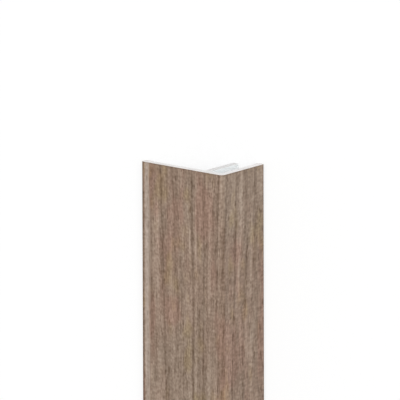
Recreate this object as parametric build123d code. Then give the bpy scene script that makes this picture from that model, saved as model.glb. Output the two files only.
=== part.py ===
from build123d import *
import os
from math import atan2, degrees

# Cladding end trim: one length of extruded cellular PVC with an F-shaped section.
# A long wing covers the side of the batten, a short wing laps the face of the board,
# and a tab behind the short wing is nailed to the batten. The board's end slides into
# the pocket between the short wing and the tab.

# Driving dimensions, in millimetres
stock_length = 2500.0
long_wing_width = 55.0
long_wing_wall = 4.0
short_wing_width = 35.0
short_wing_wall = 4.0
tab_wall = 4.0
tab_reach = 27.5
pocket_width = 7.0
corner_radius = 2.5
root_radius = 0.8
edge_radius = 0.8

# Largest share of a wall that the rounding of one of its two edges may take up
rounding_share = 0.45


def eased(wall):
    """Radius on the free edges of a wall, kept small enough for both of them to fit."""
    return min(edge_radius, rounding_share * wall)


def section():
    """The F section, with u along the long wing and v along the short wing.

    The sharp outer corner is at u = 0, v = 0. Each entry is a corner and its radius.
    """
    tab_front = short_wing_wall + pocket_width
    tab_back = tab_front + tab_wall
    outline = [
        ((0.0, 0.0), corner_radius),
        ((long_wing_width, 0.0), eased(long_wing_wall)),
        ((long_wing_width, long_wing_wall), eased(long_wing_wall)),
        ((tab_back, long_wing_wall), root_radius),
        ((tab_back, tab_reach), eased(tab_wall)),
        ((tab_front, tab_reach), eased(tab_wall)),
        ((tab_front, long_wing_wall), root_radius),
        ((short_wing_wall, long_wing_wall), root_radius),
        ((short_wing_wall, short_wing_width), eased(short_wing_wall)),
        ((0.0, short_wing_width), eased(short_wing_wall)),
    ]
    corners = [corner for corner, radius in outline]
    radii = [radius for corner, radius in outline]
    return make_face(FilletPolyline(*corners, radius=radii, close=True))


def end_trim():
    """The trim as it lies on a floor, corner up, on the inner edges of its two wings."""
    rest_angle = degrees(
        atan2(short_wing_width - long_wing_wall, long_wing_width - short_wing_wall)
    )
    # Across the trim, the long wing runs down to the left and the short wing to the right
    laid_section = Rot(0, 0, 180 + rest_angle) * section()
    across = Plane(origin=(-stock_length / 2, 0, 0), x_dir=(0, 1, 0), z_dir=(1, 0, 0))
    trim = extrude(across * laid_section, amount=stock_length)
    box = trim.bounding_box()
    return Pos(0, -box.center().Y, -box.min.Z) * trim


os.makedirs("parts", exist_ok=True)
export_step(end_trim(), "parts/end_trim.step")
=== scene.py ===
import math

import bmesh
import bpy
from mathutils import Matrix, Vector
from mathutils.geometry import intersect_line_line


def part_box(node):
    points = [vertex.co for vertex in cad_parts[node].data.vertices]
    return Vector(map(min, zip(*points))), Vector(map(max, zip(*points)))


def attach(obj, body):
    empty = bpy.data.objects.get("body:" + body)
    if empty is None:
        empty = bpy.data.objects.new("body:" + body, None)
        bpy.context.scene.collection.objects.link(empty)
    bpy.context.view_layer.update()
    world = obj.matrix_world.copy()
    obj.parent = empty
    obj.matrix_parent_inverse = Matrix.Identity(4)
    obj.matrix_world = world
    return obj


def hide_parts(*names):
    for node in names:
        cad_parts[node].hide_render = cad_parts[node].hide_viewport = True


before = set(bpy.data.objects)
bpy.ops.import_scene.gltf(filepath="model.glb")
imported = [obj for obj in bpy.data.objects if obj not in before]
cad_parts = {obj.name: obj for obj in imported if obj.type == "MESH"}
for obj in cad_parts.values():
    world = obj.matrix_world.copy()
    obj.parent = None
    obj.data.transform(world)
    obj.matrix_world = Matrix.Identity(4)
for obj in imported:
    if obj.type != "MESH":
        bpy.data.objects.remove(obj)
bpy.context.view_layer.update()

MM = 0.001

# Lowest and highest corner of the solid's box, in metres
low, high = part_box("end_trim")

# Layers in millimetres: the film, how far it returns onto the inner faces past the free edges and
# over what length it rises there to its full thickness, and the dense skin round the foamed core
film_thickness = 0.2
film_return = 3.0
film_rise = 2.0
skin_thickness = 0.45

# Reading the solid's outline, in millimetres: points this near each other are one point, and points
# this near the end's plane lie on it
weld_gap = 0.001
end_gap = 0.01

# Mesh, in millimetres and degrees: points are added this far from the ends of longer straight runs,
# and edges that turn by more than the angle stay sharp
support_gap = 0.3
longest_bare_run = 2.0
crease_angle = 25.0

# Steps along the length, and the shares of the bake's map that the film and the bare faces take
bake_strips = 3
steps_in_strip = 4
film_share = 0.75
bare_share = 0.12
map_margin = 0.004

# View of the photograph: at the visible end the outer faces would meet at this pixel of its picture
picture_side = 400
corner_pixel = (222.2, 175.7)
pixels_per_mm = 1.9006
focal_pixels = 16000.0
towards_camera = Vector((-0.2234, 0.1367, 0.9651)).normalized()
picture_down = Vector((0.9747, 0.0283, 0.2216))


# Shape


def welded_outline(node_name):
    """The section at the visible end as (y, z) points, from the top down the long wing and round."""
    mesh = bmesh.new()
    mesh.from_mesh(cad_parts[node_name].data)
    bmesh.ops.remove_doubles(mesh, verts=mesh.verts, dist=weld_gap * MM)
    at_end = {vert for vert in mesh.verts if abs(vert.co.x - low.x) < end_gap * MM}
    cap = {face for face in mesh.faces if all(vert in at_end for vert in face.verts)}
    neighbours = {}
    for edge in mesh.edges:
        if sum(face in cap for face in edge.link_faces) == 1:
            first, second = edge.verts
            neighbours.setdefault(first, []).append(second)
            neighbours.setdefault(second, []).append(first)
    top = max(neighbours, key=lambda vert: vert.co.z)
    ordered = [top, min(neighbours[top], key=lambda vert: vert.co.y)]
    while len(ordered) < len(neighbours):
        before, here = ordered[-2:]
        ordered.append(next(vert for vert in neighbours[here] if vert is not before))
    points = [Vector((vert.co.y, vert.co.z)) for vert in ordered]
    mesh.free()
    return points


def running_lengths(path):
    """Length of a path from its start to each of its points."""
    lengths = [0.0]
    for point, after in zip(path, path[1:]):
        lengths.append(lengths[-1] + (after - point).length)
    return lengths


def split(path, distance):
    """Cuts a path at a distance from its start, and gives both parts."""
    lengths = running_lengths(path)
    last = max(index for index, length in enumerate(lengths) if length < distance)
    point, after = path[last : last + 2]
    cut = point.lerp(after, (distance - lengths[last]) / (after - point).length)
    return path[: last + 1] + [cut], [cut] + path[last + 1 :]


def supported(path):
    """Adds points near the ends of long straight runs, which keep smooth shading on the roundings."""
    result = [path[0]]
    for point, after in zip(path, path[1:]):
        run = (after - point).length
        if run > longest_bare_run * MM:
            near = support_gap * MM / run
            result += [point.lerp(after, near), point.lerp(after, 1 - near)]
        result.append(after)
    return result


def outward(before, after):
    """Direction out of the material, for a path that goes over the trim from left to right."""
    along = (after - before).normalized()
    return Vector((-along.y, along.x))


def lowest_on(side, outline):
    """Index of an outline's lowest point on the left side, -1, or on the right side, 1."""
    indexes = (index for index, point in enumerate(outline) if point.x * side > 0)
    return min(indexes, key=lambda index: outline[index].y)


def raised_at_ends(film):
    """The film's path, lifted off the inner faces by the film's thickness at both of its ends."""
    lengths = running_lengths(film)
    last = len(film) - 1
    result = []
    for index, point in enumerate(film):
        to_end = min(lengths[index], lengths[last] - lengths[index])
        rise = max(0.0, 1 - to_end / (film_rise * MM)) * film_thickness * MM
        before = film[max(index - 1, 0)]
        after = film[min(index + 1, last)]
        result.append(point + outward(before, after) * rise)
    return result


def film_and_bare():
    """The film's path over the outer faces and round their edges, and the bare path back inside."""
    outline = welded_outline("end_trim")
    left = lowest_on(-1, outline)
    right = lowest_on(1, outline)
    outer = outline[left::-1] + outline[: right - 1 : -1]
    left_return, inside = split(outline[left : right + 1], film_return * MM)
    right_return, inside = split(inside[::-1], film_return * MM)
    film = supported(left_return[:0:-1] + outer + right_return[1:])
    return raised_at_ends(film), supported(inside)


film_path, bare_path = film_and_bare()
film_lengths = running_lengths(film_path)


def film_place(best):
    """Millimetres along the film's path to the point that a key ranks highest."""
    return film_lengths[film_path.index(max(film_path, key=best))] / MM


# The film is measured round the section from the top of the outer corner, long wing first
top_place = film_place(lambda point: point.y)
long_edge = film_place(lambda point: -point.x) - top_place
short_edge = film_place(lambda point: point.x) - top_place

# The film's two longest straight runs lie on the outer faces of the short wing and the long wing
runs = sorted(zip(film_path, film_path[1:]), key=lambda run: (run[1] - run[0]).length)
short_face, long_face = runs[-2:]


def sharp_corner():
    """Where the two outer faces would meet at the visible end, without the rounding."""
    ends = [point.to_3d() for point in short_face + long_face]
    y, z, _ = intersect_line_line(*ends)[0]
    return Vector((low.x, y, z))


class Builder:
    """Faces of the trim with their places on the unrolled film and on the bake's map."""

    def __init__(self):
        self.mesh = bmesh.new()
        self.unrolled = self.mesh.loops.layers.uv.new("Unrolled")
        self.baked = self.mesh.loops.layers.uv.new("OFBake")

    def ring(self, x, points):
        """Adds the points of a section, at one place along the trim."""
        return [self.mesh.verts.new((x, point.x, point.y)) for point in points]

    def face(self, corners, material):
        """Adds a face, given as (vertex, unrolled place, baked place) for each of its corners."""
        made = self.mesh.faces.new([vert for vert, *_ in corners])
        made.material_index = material
        for loop, (_, unrolled, baked) in zip(made.loops, corners):
            loop[self.unrolled].uv = unrolled
            loop[self.baked].uv = baked
        return made


FILM, SKIN, SAWN_SKIN, CORE = range(4)


def add_walls(builder, rings, stations):
    """The long faces: film first, then the bare faces with the film's two cut edges."""
    section = film_path + bare_path
    around = running_lengths(section + section[:1])
    film_end = len(film_path) - 1
    steps = len(stations) - 1

    def corner(point, station, strip, on_film):
        if on_film:
            first = strip * film_share / bake_strips
            share = film_share / bake_strips
            part = around[point] / around[film_end]
            along = station / steps_in_strip - strip
        else:
            first = film_share
            share = bare_share
            part = (around[point] - around[film_end]) / (around[-1] - around[film_end])
            along = station / steps
        unrolled = (around[point] - top_place * MM, stations[station] - low.x)
        baked = (
            first + map_margin + part * (share - 2 * map_margin),
            map_margin + along * (1 - 2 * map_margin),
        )
        return rings[station][point % len(section)], unrolled, baked

    for station in range(steps):
        strip = station // steps_in_strip
        for point in range(len(section)):
            on_film = point < film_end
            is_cut_edge = point in (film_end, len(section) - 1)
            corners = [
                corner(point, station, strip, on_film),
                corner(point + 1, station, strip, on_film),
                corner(point + 1, station + 1, strip, on_film),
                corner(point, station + 1, strip, on_film),
            ]
            builder.face(corners, FILM if on_film or is_cut_edge else SKIN)


def add_cut_end(builder, ring, x, order):
    """A sawn end, first or second on the bake's map: the film's edge, the skin and the foamed core."""
    film_count = len(film_path)
    backing = [
        point - outward(before, after) * film_thickness * MM
        for before, point, after in zip(film_path, film_path[1:], film_path[2:])
    ]
    body = [bare_path[-1]] + backing + bare_path[:-1]
    body_ring = [ring[-1]] + builder.ring(x, backing) + ring[film_count:-1]
    body_count = len(body)
    inner = [
        point - outward(body[index - 1], body[(index + 1) % body_count]) * skin_thickness * MM
        for index, point in enumerate(body)
    ]
    inner_ring = builder.ring(x, inner)

    width = 1 - film_share - bare_share - 2 * map_margin
    scale = width / (high.z - low.z)
    height = scale * (high.y - low.y)

    def corner(vert):
        y, z = vert.co.yz
        u = film_share + bare_share + map_margin + (z - low.z) * scale
        v = map_margin + order * (height + 2 * map_margin) + (y - low.y) * scale
        return vert, (y, z), (u, v)

    for index in range(film_count - 1):
        # The film's returns narrow to a point that they share with the bare face
        after = index + 1
        quad = dict.fromkeys((ring[index], body_ring[index], body_ring[after], ring[after]))
        builder.face([corner(vert) for vert in quad], FILM)
    for index in range(body_count):
        after = (index + 1) % body_count
        quad = (body_ring[index], inner_ring[index], inner_ring[after], body_ring[after])
        builder.face([corner(vert) for vert in quad], SAWN_SKIN)
    core = builder.face([corner(vert) for vert in inner_ring], CORE)
    core.normal_update()
    bmesh.ops.triangulate(builder.mesh, faces=[core], ngon_method="EAR_CLIP")


def trim_mesh():
    """The trim as one closed mesh: film outside, bare plastic inside and on the cut ends."""
    steps = bake_strips * steps_in_strip
    stations = [low.x + (high.x - low.x) * step / steps for step in range(steps + 1)]
    builder = Builder()
    rings = [builder.ring(x, film_path + bare_path) for x in stations]
    add_walls(builder, rings, stations)
    add_cut_end(builder, rings[0], stations[0], order=0)
    add_cut_end(builder, rings[-1], stations[-1], order=1)
    bmesh.ops.recalc_face_normals(builder.mesh, faces=builder.mesh.faces)
    data = bpy.data.meshes.new("foiled_trim")
    builder.mesh.to_mesh(data)
    builder.mesh.free()
    data.shade_smooth()
    data.set_sharp_from_angle(angle=math.radians(crease_angle))
    return data


# Materials


def srgb(red, green, blue):
    """A colour written as it looks on screen, from 0 to 255, as the linear colour that shaders take."""

    def linear(part):
        part /= 255
        return part / 12.92 if part <= 0.04045 else ((part + 0.055) / 1.055) ** 2.4

    return (linear(red), linear(green), linear(blue), 1.0)


class Value:
    """A number or colour that varies from place to place, as an output of a node."""

    def __init__(self, graph, socket):
        self.graph = graph
        self.socket = socket

    def __add__(self, other):
        return self.graph.math("ADD", self, other)

    def __sub__(self, other):
        return self.graph.math("SUBTRACT", self, other)

    def __rsub__(self, other):
        return self.graph.math("SUBTRACT", other, self)

    def __mul__(self, other):
        return self.graph.math("MULTIPLY", self, other)

    def __truediv__(self, other):
        return self.graph.math("DIVIDE", self, other)

    __radd__ = __add__
    __rmul__ = __mul__


class Graph:
    """Short ways to add nodes to a new material or world."""

    def __init__(self, owner):
        owner.use_nodes = True
        self.owner = owner
        self.tree = owner.node_tree
        output = next(node for node in self.tree.nodes if node.type.startswith("OUTPUT"))
        self.surface = output.inputs["Surface"]
        self.shader = self.surface.links[0].from_node

    def feed(self, socket, value):
        """Links a socket to a value that varies, or sets it to one that doesn't."""
        if isinstance(value, Value):
            self.tree.links.new(value.socket, socket)
        else:
            socket.default_value = value

    def add(self, kind, *inputs, **settings):
        """Adds a node with these settings, and feeds its first inputs."""
        node = self.tree.nodes.new(kind)
        for name, setting in settings.items():
            setattr(node, name, setting)
        for socket, value in zip(node.inputs, inputs):
            self.feed(socket, value)
        return node

    def value(self, kind, *inputs, **settings):
        """Adds a node and gives its first output."""
        return Value(self, self.add(kind, *inputs, **settings).outputs[0])

    def math(self, operation, *inputs):
        """Adds a calculation on one or two inputs."""
        return self.value("ShaderNodeMath", *inputs, operation=operation)

    def rise(self, value, start, end):
        """Goes smoothly from 0 where the value is at start to 1 where it is at end."""
        inputs = (value, start, end, 0.0, 1.0)
        return self.value("ShaderNodeMapRange", *inputs, interpolation_type="SMOOTHSTEP")

    def unrolled(self):
        """Millimetres round the section from its top, and along from the visible end."""
        place = self.value("ShaderNodeUVMap", uv_map="Unrolled")
        parts = self.add("ShaderNodeSeparateXYZ", place).outputs
        return Value(self, parts[0]) / MM, Value(self, parts[1]) / MM

    def noise(self, across, along, width, length, seed, detail=0.0):
        """Noise about zero, with a spread of about 1, in spots of this size in millimetres."""
        middle = 0.5
        usual_spread = 0.13
        node = self.add("ShaderNodeTexNoise", noise_dimensions="3D")
        place = self.value("ShaderNodeCombineXYZ", across / width, along / length, seed)
        self.feed(node.inputs["Vector"], place)
        self.feed(node.inputs["Scale"], 1.0)
        self.feed(node.inputs["Detail"], detail)
        return (Value(self, node.outputs["Fac"]) - middle) / usual_spread

    def ramp(self, value, stops):
        """Colours along a ramp, given as pairs of a place from 0 to 1 and a colour."""
        middle = 0.5
        node = self.add("ShaderNodeValToRGB", value)
        elements = node.color_ramp.elements
        # A new ramp has a stop at each end, so the others start between them
        while len(elements) < len(stops):
            elements.new(middle)
        for element, (place, colour) in zip(elements, stops):
            element.position = place
            element.color = colour
        return Value(self, node.outputs[0])

    def tint(self, colour, tint, amount):
        """The colour as it is where the amount is 0, and multiplied by the tint where it is 1."""
        node = self.add("ShaderNodeMix", amount, data_type="RGBA", blend_type="MULTIPLY")
        # A mix node's sockets for colours come after those for numbers and vectors
        self.feed(node.inputs[6], colour)
        self.feed(node.inputs[7], tint)
        return Value(self, node.outputs[2])

    def finish(self, colour, roughness, specular, relief, relief_strength, relief_depth):
        """Gives the surface its colour, gloss and fine relief, whose depth is in millimetres."""
        inputs = self.shader.inputs
        self.feed(inputs["Base Color"], colour)
        self.feed(inputs["Roughness"], roughness)
        self.feed(inputs["Specular IOR Level"], specular)
        bump = self.add("ShaderNodeBump")
        self.feed(bump.inputs["Strength"], relief_strength)
        self.feed(bump.inputs["Distance"], relief_depth * MM)
        self.feed(bump.inputs["Height"], relief)
        self.feed(inputs["Normal"], Value(self, bump.outputs[0]))

    def seen(self):
        """1 for rays from the camera and what gloss and glass would show, and 0 for other light."""
        path = self.add("ShaderNodeLightPath")
        rays = ("Is Camera Ray", "Is Glossy Ray", "Is Transmission Ray")
        return self.math("MINIMUM", sum(Value(self, path.outputs[ray]) for ray in rays), 1.0)


# Mean colour of the film on screen, from 0 to 255, and the steps of its ramp, in levels from that mean
film_mean = (140, 118, 101)
film_steps = (-70, -40, 0, 40, 70)

# Strength of the grain's marks in levels, and what is added to the streaks away from the visible end
streak_levels = 4.8
long_streak_levels = 2.8
more_streak_levels = 1.4
more_long_streak_levels = 1.0
fibre_levels = 6.4
thread_levels = 5.0
pore_levels = -22.0

# Strength of the painted highlight, a light strip that stands in for the sheen on the rounding of the
# long wing's free edge, of the painted shade on the roundings of both free edges, and of the dark line
# along the sawn ends
sheen_strip_levels = 27.0
long_edge_shade_levels = -28.0
short_edge_shade_levels = -16.0
cut_edge_levels = -8.0

# Lines of the print that show most, and one painted highlight on the corner's rounding: millimetres
# from the top of the outer corner, where along the trim each starts and ends, and how many levels
# lighter or darker it is
print_lines_and_corner_highlight = [
    (-45.0, 30, 2500, 12),
    (-41.5, 0, 2500, -20),
    (-37.5, 0, 32, -16),
    (-33.0, 0, 50, -15),
    (-26.0, 0, 24, -14),
    (-23.0, 32, 2500, 8),
    (-19.5, 0, 2500, -19),
    (-17.0, 0, 2500, 10),
    (-11.1, 0, 2500, -18),
    (-3.2, 32, 52, -22),
    (-2.0, 0, 30, -22),
    (-1.5, 58, 92, -24),
    # Painted highlight on the rounding of the outer corner near the visible end, not a line of the
    # print
    (-0.6, 0, 30, 10),
    (1.0, 98, 2500, -16),
    (1.8, 34, 66, -14),
    (2.7, 0, 24, -14),
    (3.4, 76, 92, -20),
    (9.6, 0, 25, -13),
    (10.3, 30, 2500, -20),
    (13.4, 0, 60, 12),
    (16.1, 0, 35, -14),
    (17.7, 42, 2500, -25),
    (20.4, 0, 60, 13),
]

# Patches where the print is warmer or cooler: place and distance along, half width and half length,
# and strength, above zero for warmer
tint_patches = [
    (-44.5, 14, 6, 18, 1.0),
    (-31.0, 32, 8, 16, 0.9),
    (-10.0, 25, 8, 20, 0.8),
    (-33.0, 77, 7, 10, 0.8),
    (-48.0, 82, 4, 14, 0.7),
    (8.0, 96, 12, 22, 1.0),
    (33.0, 80, 5, 50, 0.8),
    (20.0, 16, 24, 26, -1.0),
    (-24.0, 112, 22, 28, -1.0),
]

# What the film's colour is multiplied by where it is warm, cool or yellow, and on the strip of painted
# sheen
warm_tint = (1.0, 0.9, 0.895, 1)
cool_tint = (1.0, 1.045, 1.055, 1)
yellow_tint = (1.01, 1.0, 0.84, 1)
sheen_strip_tint = (0.97, 1.03, 1.09, 1)


def grain_place(graph, place, along):
    """Millimetres across the grain, which draws together along the trim and apart again."""
    flow_middle = -17.0
    flow_width = 104.0
    flow_length = 520.0
    flow_depth = 4.0
    wander_depth = 0.3
    short_wing_share = 0.8
    to_side = graph.math("SINE", (place - flow_middle) * (math.tau / flow_width))
    to_end = graph.math("SINE", along * (math.tau / flow_length))
    wander = graph.noise(place, along, width=22.0, length=90.0, seed=1.5)
    # On the short wing, where places are above zero, the grain is broader
    broader = graph.math("MINIMUM", place, place * short_wing_share)
    return broader + to_side * to_end * flow_depth + wander * wander_depth


def bold_lines_and_corner_highlight(graph, across, along):
    """The lines of the print that show most, and the painted highlight on the corner's rounding, uneven
    along their length, in levels.
    """
    faint_beyond = 1.15
    full_within = 0.15
    fade_in = 12
    fade_out = 24
    mean_strength = 0.85
    unevenness = 0.25
    dash = graph.noise(across, along, width=0.9, length=5.0, seed=5.5)
    fade = graph.noise(across, along, width=5.0, length=110.0, seed=8.5)
    strength = graph.math("MAXIMUM", (dash + fade) * unevenness + mean_strength, 0.0)
    total = 0.0
    for line_place, start, end, levels in print_lines_and_corner_highlight:
        aside = graph.math("ABSOLUTE", across - line_place)
        near = graph.rise(aside, faint_beyond, full_within)
        begun = graph.rise(along, start - fade_in, start)
        lasting = graph.rise(along, end + fade_out, end)
        total += near * begun * lasting * strength * levels
    return total


def tinted(graph, colour, place, along, strip):
    """The print's colour with its warmer, cooler and yellower patches, and cooler on the strip of
    painted sheen.
    """
    patch_outside = 1.3
    patch_inside = 0.2
    warmth_wander = 0.45
    warmth = graph.noise(place, along, width=7.0, length=24.0, seed=6.5, detail=1.0) * warmth_wander
    for patch_place, patch_along, half_width, half_length, strength in tint_patches:
        sideways = (place - patch_place) / half_width
        lengthways = (along - patch_along) / half_length
        outwards = sideways * sideways + lengthways * lengthways
        warmth += graph.rise(outwards, patch_outside, patch_inside) * strength
    yellowness = graph.noise(place, along, width=8.0, length=18.0, seed=7.5, detail=1.0)
    # The strip is a painted highlight, so the print's patches stay off it
    elsewhere = 1.0 - strip
    colour = graph.tint(colour, warm_tint, graph.rise(warmth, start=0.0, end=1.0) * elsewhere)
    colour = graph.tint(colour, cool_tint, graph.rise(warmth, start=0.0, end=-1.0) * elsewhere)
    colour = graph.tint(colour, yellow_tint, graph.rise(yellowness, start=0.1, end=1.8) * elsewhere)
    return graph.tint(colour, sheen_strip_tint, strip)


def film_colour(graph, tone):
    """The film's colour for a tone in levels, with its three parts changed alike."""
    lowest, highest = film_steps[0], film_steps[-1]
    stops = [
        ((step - lowest) / (highest - lowest), srgb(*(part + step for part in film_mean)))
        for step in film_steps
    ]
    return graph.ramp((tone - lowest) / (highest - lowest), stops)


def wood_film():
    """Printed and embossed wood-grain film: grey-brown, with streaks, fibres, pores and dark lines, and
    painted light: a sheen strip beside the long wing's free edge, shade along both free edges and a
    highlight on the corner's rounding.
    """
    fraying = 0.25
    sheen_strip_fraying = 0.25
    sheen_strip_roughening = 0.15
    sheen_strip_calm = 0.2
    tone_relief = 0.2 / film_steps[-1]
    thread_relief = 0.15
    thread_roughness = 0.04
    pore_roughness = 0.15
    mean_roughness = 0.5
    graph = Graph(bpy.data.materials.new("wood_film"))
    place, along = graph.unrolled()
    across = grain_place(graph, place, along)

    streak = graph.noise(across, along, width=1.8, length=36.0, seed=2.5)
    long_streak = graph.noise(across, along, width=2.2, length=170.0, seed=3.5)
    thread = graph.noise(across, along, width=0.25, length=9.0, seed=9.5)
    fibre = graph.noise(across + thread * fraying, along, width=1.1, length=1.35, seed=4.5)
    pore = graph.noise(across, along, width=0.4, length=4.5, seed=10.5)
    pores = graph.rise(pore, start=0.9, end=1.9)
    fuller = graph.rise(along, start=110.0, end=170.0)
    grain = (
        streak * (fuller * more_streak_levels + streak_levels)
        + long_streak * (fuller * more_long_streak_levels + long_streak_levels)
        + fibre * fibre_levels
        + thread * thread_levels
        + pores * pore_levels
        + bold_lines_and_corner_highlight(graph, across, along)
    )

    from_long_edge = place - long_edge
    from_short_edge = short_edge - place
    ragged = from_long_edge + streak * sheen_strip_fraying + fibre * sheen_strip_roughening
    # Painted highlight: a light, calmer strip beside the long wing's free edge, for the sheen on its
    # rounding
    strip = graph.rise(from_long_edge, start=1.5, end=2.6) * graph.rise(ragged, start=5.9, end=4.3)
    tone = (
        grain * (1.0 - strip * sheen_strip_calm)
        + strip * sheen_strip_levels
        # Painted shade on the roundings of both free edges, and a darker line along the sawn ends
        + graph.rise(from_long_edge, start=2.2, end=1.0) * long_edge_shade_levels
        + graph.rise(from_short_edge, start=1.4, end=0.5) * short_edge_shade_levels
        + graph.rise(along, start=0.9, end=0.3) * cut_edge_levels
    )
    graph.finish(
        colour=tinted(graph, film_colour(graph, tone), place, along, strip),
        roughness=thread * thread_roughness + pores * pore_roughness + mean_roughness,
        specular=0.35,
        relief=tone * tone_relief + thread * thread_relief - pores,
        relief_strength=0.5,
        relief_depth=0.04,
    )
    return graph.owner


def pvc_skin():
    """Bare PVC as it leaves the die: white with a faint cool cast, fine drawn lines and soft clouds."""
    shade = (0.2, srgb(244, 247, 248))
    white = (0.8, srgb(250, 252, 252))
    drawn_tone = 0.06
    cloud_tone = 0.08
    mean_tone = 0.5
    cloud_roughness = 0.03
    mean_roughness = 0.42
    graph = Graph(bpy.data.materials.new("pvc_skin"))
    around, along = graph.unrolled()
    drawn = graph.noise(around, along, width=0.8, length=180.0, seed=11.5, detail=2.0)
    cloud = graph.noise(around, along, width=9.0, length=40.0, seed=12.5, detail=2.0)
    graph.finish(
        colour=graph.ramp(drawn * drawn_tone + cloud * cloud_tone + mean_tone, [shade, white]),
        roughness=cloud * cloud_roughness + mean_roughness,
        specular=0.4,
        relief=drawn,
        relief_strength=0.2,
        relief_depth=0.01,
    )
    return graph.owner


def depth_under(face, y, z):
    """Millimetres that a place on a cut end lies under an outer face."""
    start, end = face
    out = outward(start, end)
    return (start.x / MM - y) * out.x + (start.y / MM - z) * out.y


def sawn_pvc(name, cell_share):
    """PVC where the saw cut it: off-white, greyer on the tab, with saw lines and cut cells of foam."""
    shade = (0.1, srgb(188, 186, 185))
    white = (0.8, srgb(224, 221, 220))
    tab_tint = (0.895, 0.91, 0.91, 1)
    saw_slant = 0.35
    saw_tone = 0.06
    cloud_tone = 0.06
    cell_tone = 0.4
    mean_tone = 0.7
    saw_relief = 0.2
    cell_roughness = 0.1
    mean_roughness = 0.75
    graph = Graph(bpy.data.materials.new(name))
    y, z = graph.unrolled()
    past_short_wing = graph.rise(depth_under(short_face, y, z), start=5.0, end=10.0)
    past_long_wing = graph.rise(depth_under(long_face, y, z), start=3.5, end=7.0)
    on_tab = past_short_wing * past_long_wing
    cell = graph.noise(y, z, width=0.25, length=0.25, seed=21.5, detail=1.0)
    cells = graph.rise(cell, start=0.7, end=1.8) * cell_share
    saw = graph.noise(y + z * saw_slant, z, width=0.5, length=40.0, seed=22.5, detail=1.0)
    cloud = graph.noise(y, z, width=6.0, length=6.0, seed=23.5, detail=1.0)
    tone = saw * saw_tone + cloud * cloud_tone - cells * cell_tone + mean_tone
    graph.finish(
        colour=graph.tint(graph.ramp(tone, [shade, white]), tab_tint, on_tab),
        roughness=cells * cell_roughness + mean_roughness,
        specular=0.3,
        relief=saw * saw_relief - cells,
        relief_strength=0.5,
        relief_depth=0.05,
    )
    return graph.owner


trim = bpy.data.objects.new("foiled_trim", trim_mesh())
bpy.context.scene.collection.objects.link(trim)

# In the order of FILM, SKIN, SAWN_SKIN and CORE
trim_materials = [
    wood_film(),
    pvc_skin(),
    sawn_pvc("sawn_skin", cell_share=0.1),
    sawn_pvc("foamed_core", cell_share=1.0),
]
for material in trim_materials:
    trim.data.materials.append(material)
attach(trim, "root")
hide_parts("end_trim")


# Stage


def pale_floor():
    """A wide floor that looks near white and keeps a faint shadow of the trim."""
    half_side = 25.0
    below = 0.02 * MM
    white_share = 0.75
    floor_white = (0.93, 0.93, 0.93, 1)
    data = bpy.data.meshes.new("floor")
    signs = ((-1, -1), (1, -1), (1, 1), (-1, 1))
    corners = [(half_side * first, half_side * second, 0) for first, second in signs]
    data.from_pydata(corners, [], [(0, 1, 2, 3)])
    floor = bpy.data.objects.new("floor", data)
    floor.location.z = low.z - below
    bpy.context.scene.collection.objects.link(floor)

    graph = Graph(bpy.data.materials.new("pale_floor"))
    graph.feed(graph.shader.inputs["Base Color"], floor_white)
    graph.feed(graph.shader.inputs["Roughness"], 0.9)
    graph.feed(graph.shader.inputs["Specular IOR Level"], 0.0)
    shaded = Value(graph, graph.shader.outputs["BSDF"])
    white = graph.value("ShaderNodeEmission")
    mixed = graph.value("ShaderNodeMixShader", graph.seen() * white_share, shaded, white)
    graph.feed(graph.surface, mixed)
    data.materials.append(graph.owner)
    return floor


pale_floor()


def soft_light(name, towards, spread, strength):
    """A broad even light from one direction, as strong all along the trim."""
    lamp = bpy.data.lights.new(name, "SUN")
    lamp.angle = math.radians(spread)
    lamp.energy = strength
    holder = bpy.data.objects.new(name, lamp)
    holder.rotation_euler = Vector(towards).to_track_quat("Z", "Y").to_euler()
    bpy.context.scene.collection.objects.link(holder)


def white_world(strength):
    """Even light from all round, which itself is seen as plain white."""
    graph = Graph(bpy.data.worlds.new("white_world"))
    graph.feed(graph.shader.inputs["Color"], (1, 1, 1, 1))
    graph.feed(graph.shader.inputs["Strength"], graph.seen() * (1 - strength) + strength)
    return graph.owner


# The light comes from above, from beyond the visible end and a little from the short wing's side
soft_light("top_light", towards=(-0.55, 0.10, 0.83), spread=70, strength=1.75)
bpy.context.scene.world = white_world(strength=0.64)


# Camera


def photo_camera():
    """A camera with the photograph's view of the visible end."""
    farthest_seen = 400.0
    lens = bpy.data.cameras.new("photo_camera")
    lens.sensor_width = 36.0
    lens.lens = focal_pixels / picture_side * lens.sensor_width
    lens.clip_end = farthest_seen
    back = towards_camera
    down = (picture_down - back * picture_down.dot(back)).normalized()
    right = down.cross(-back)
    turn = Matrix((right, -down, back)).transposed()
    distance = focal_pixels / pixels_per_mm * MM
    middle = picture_side / 2
    offset = right * (corner_pixel[0] - middle) + down * (corner_pixel[1] - middle)
    place = sharp_corner() - offset / pixels_per_mm * MM + back * distance
    camera = bpy.data.objects.new("photo_camera", lens)
    camera.matrix_world = Matrix.Translation(place) @ turn.to_4x4()
    bpy.context.scene.collection.objects.link(camera)
    return camera


bpy.context.scene.camera = photo_camera()
bpy.context.scene.view_settings.view_transform = "Standard"
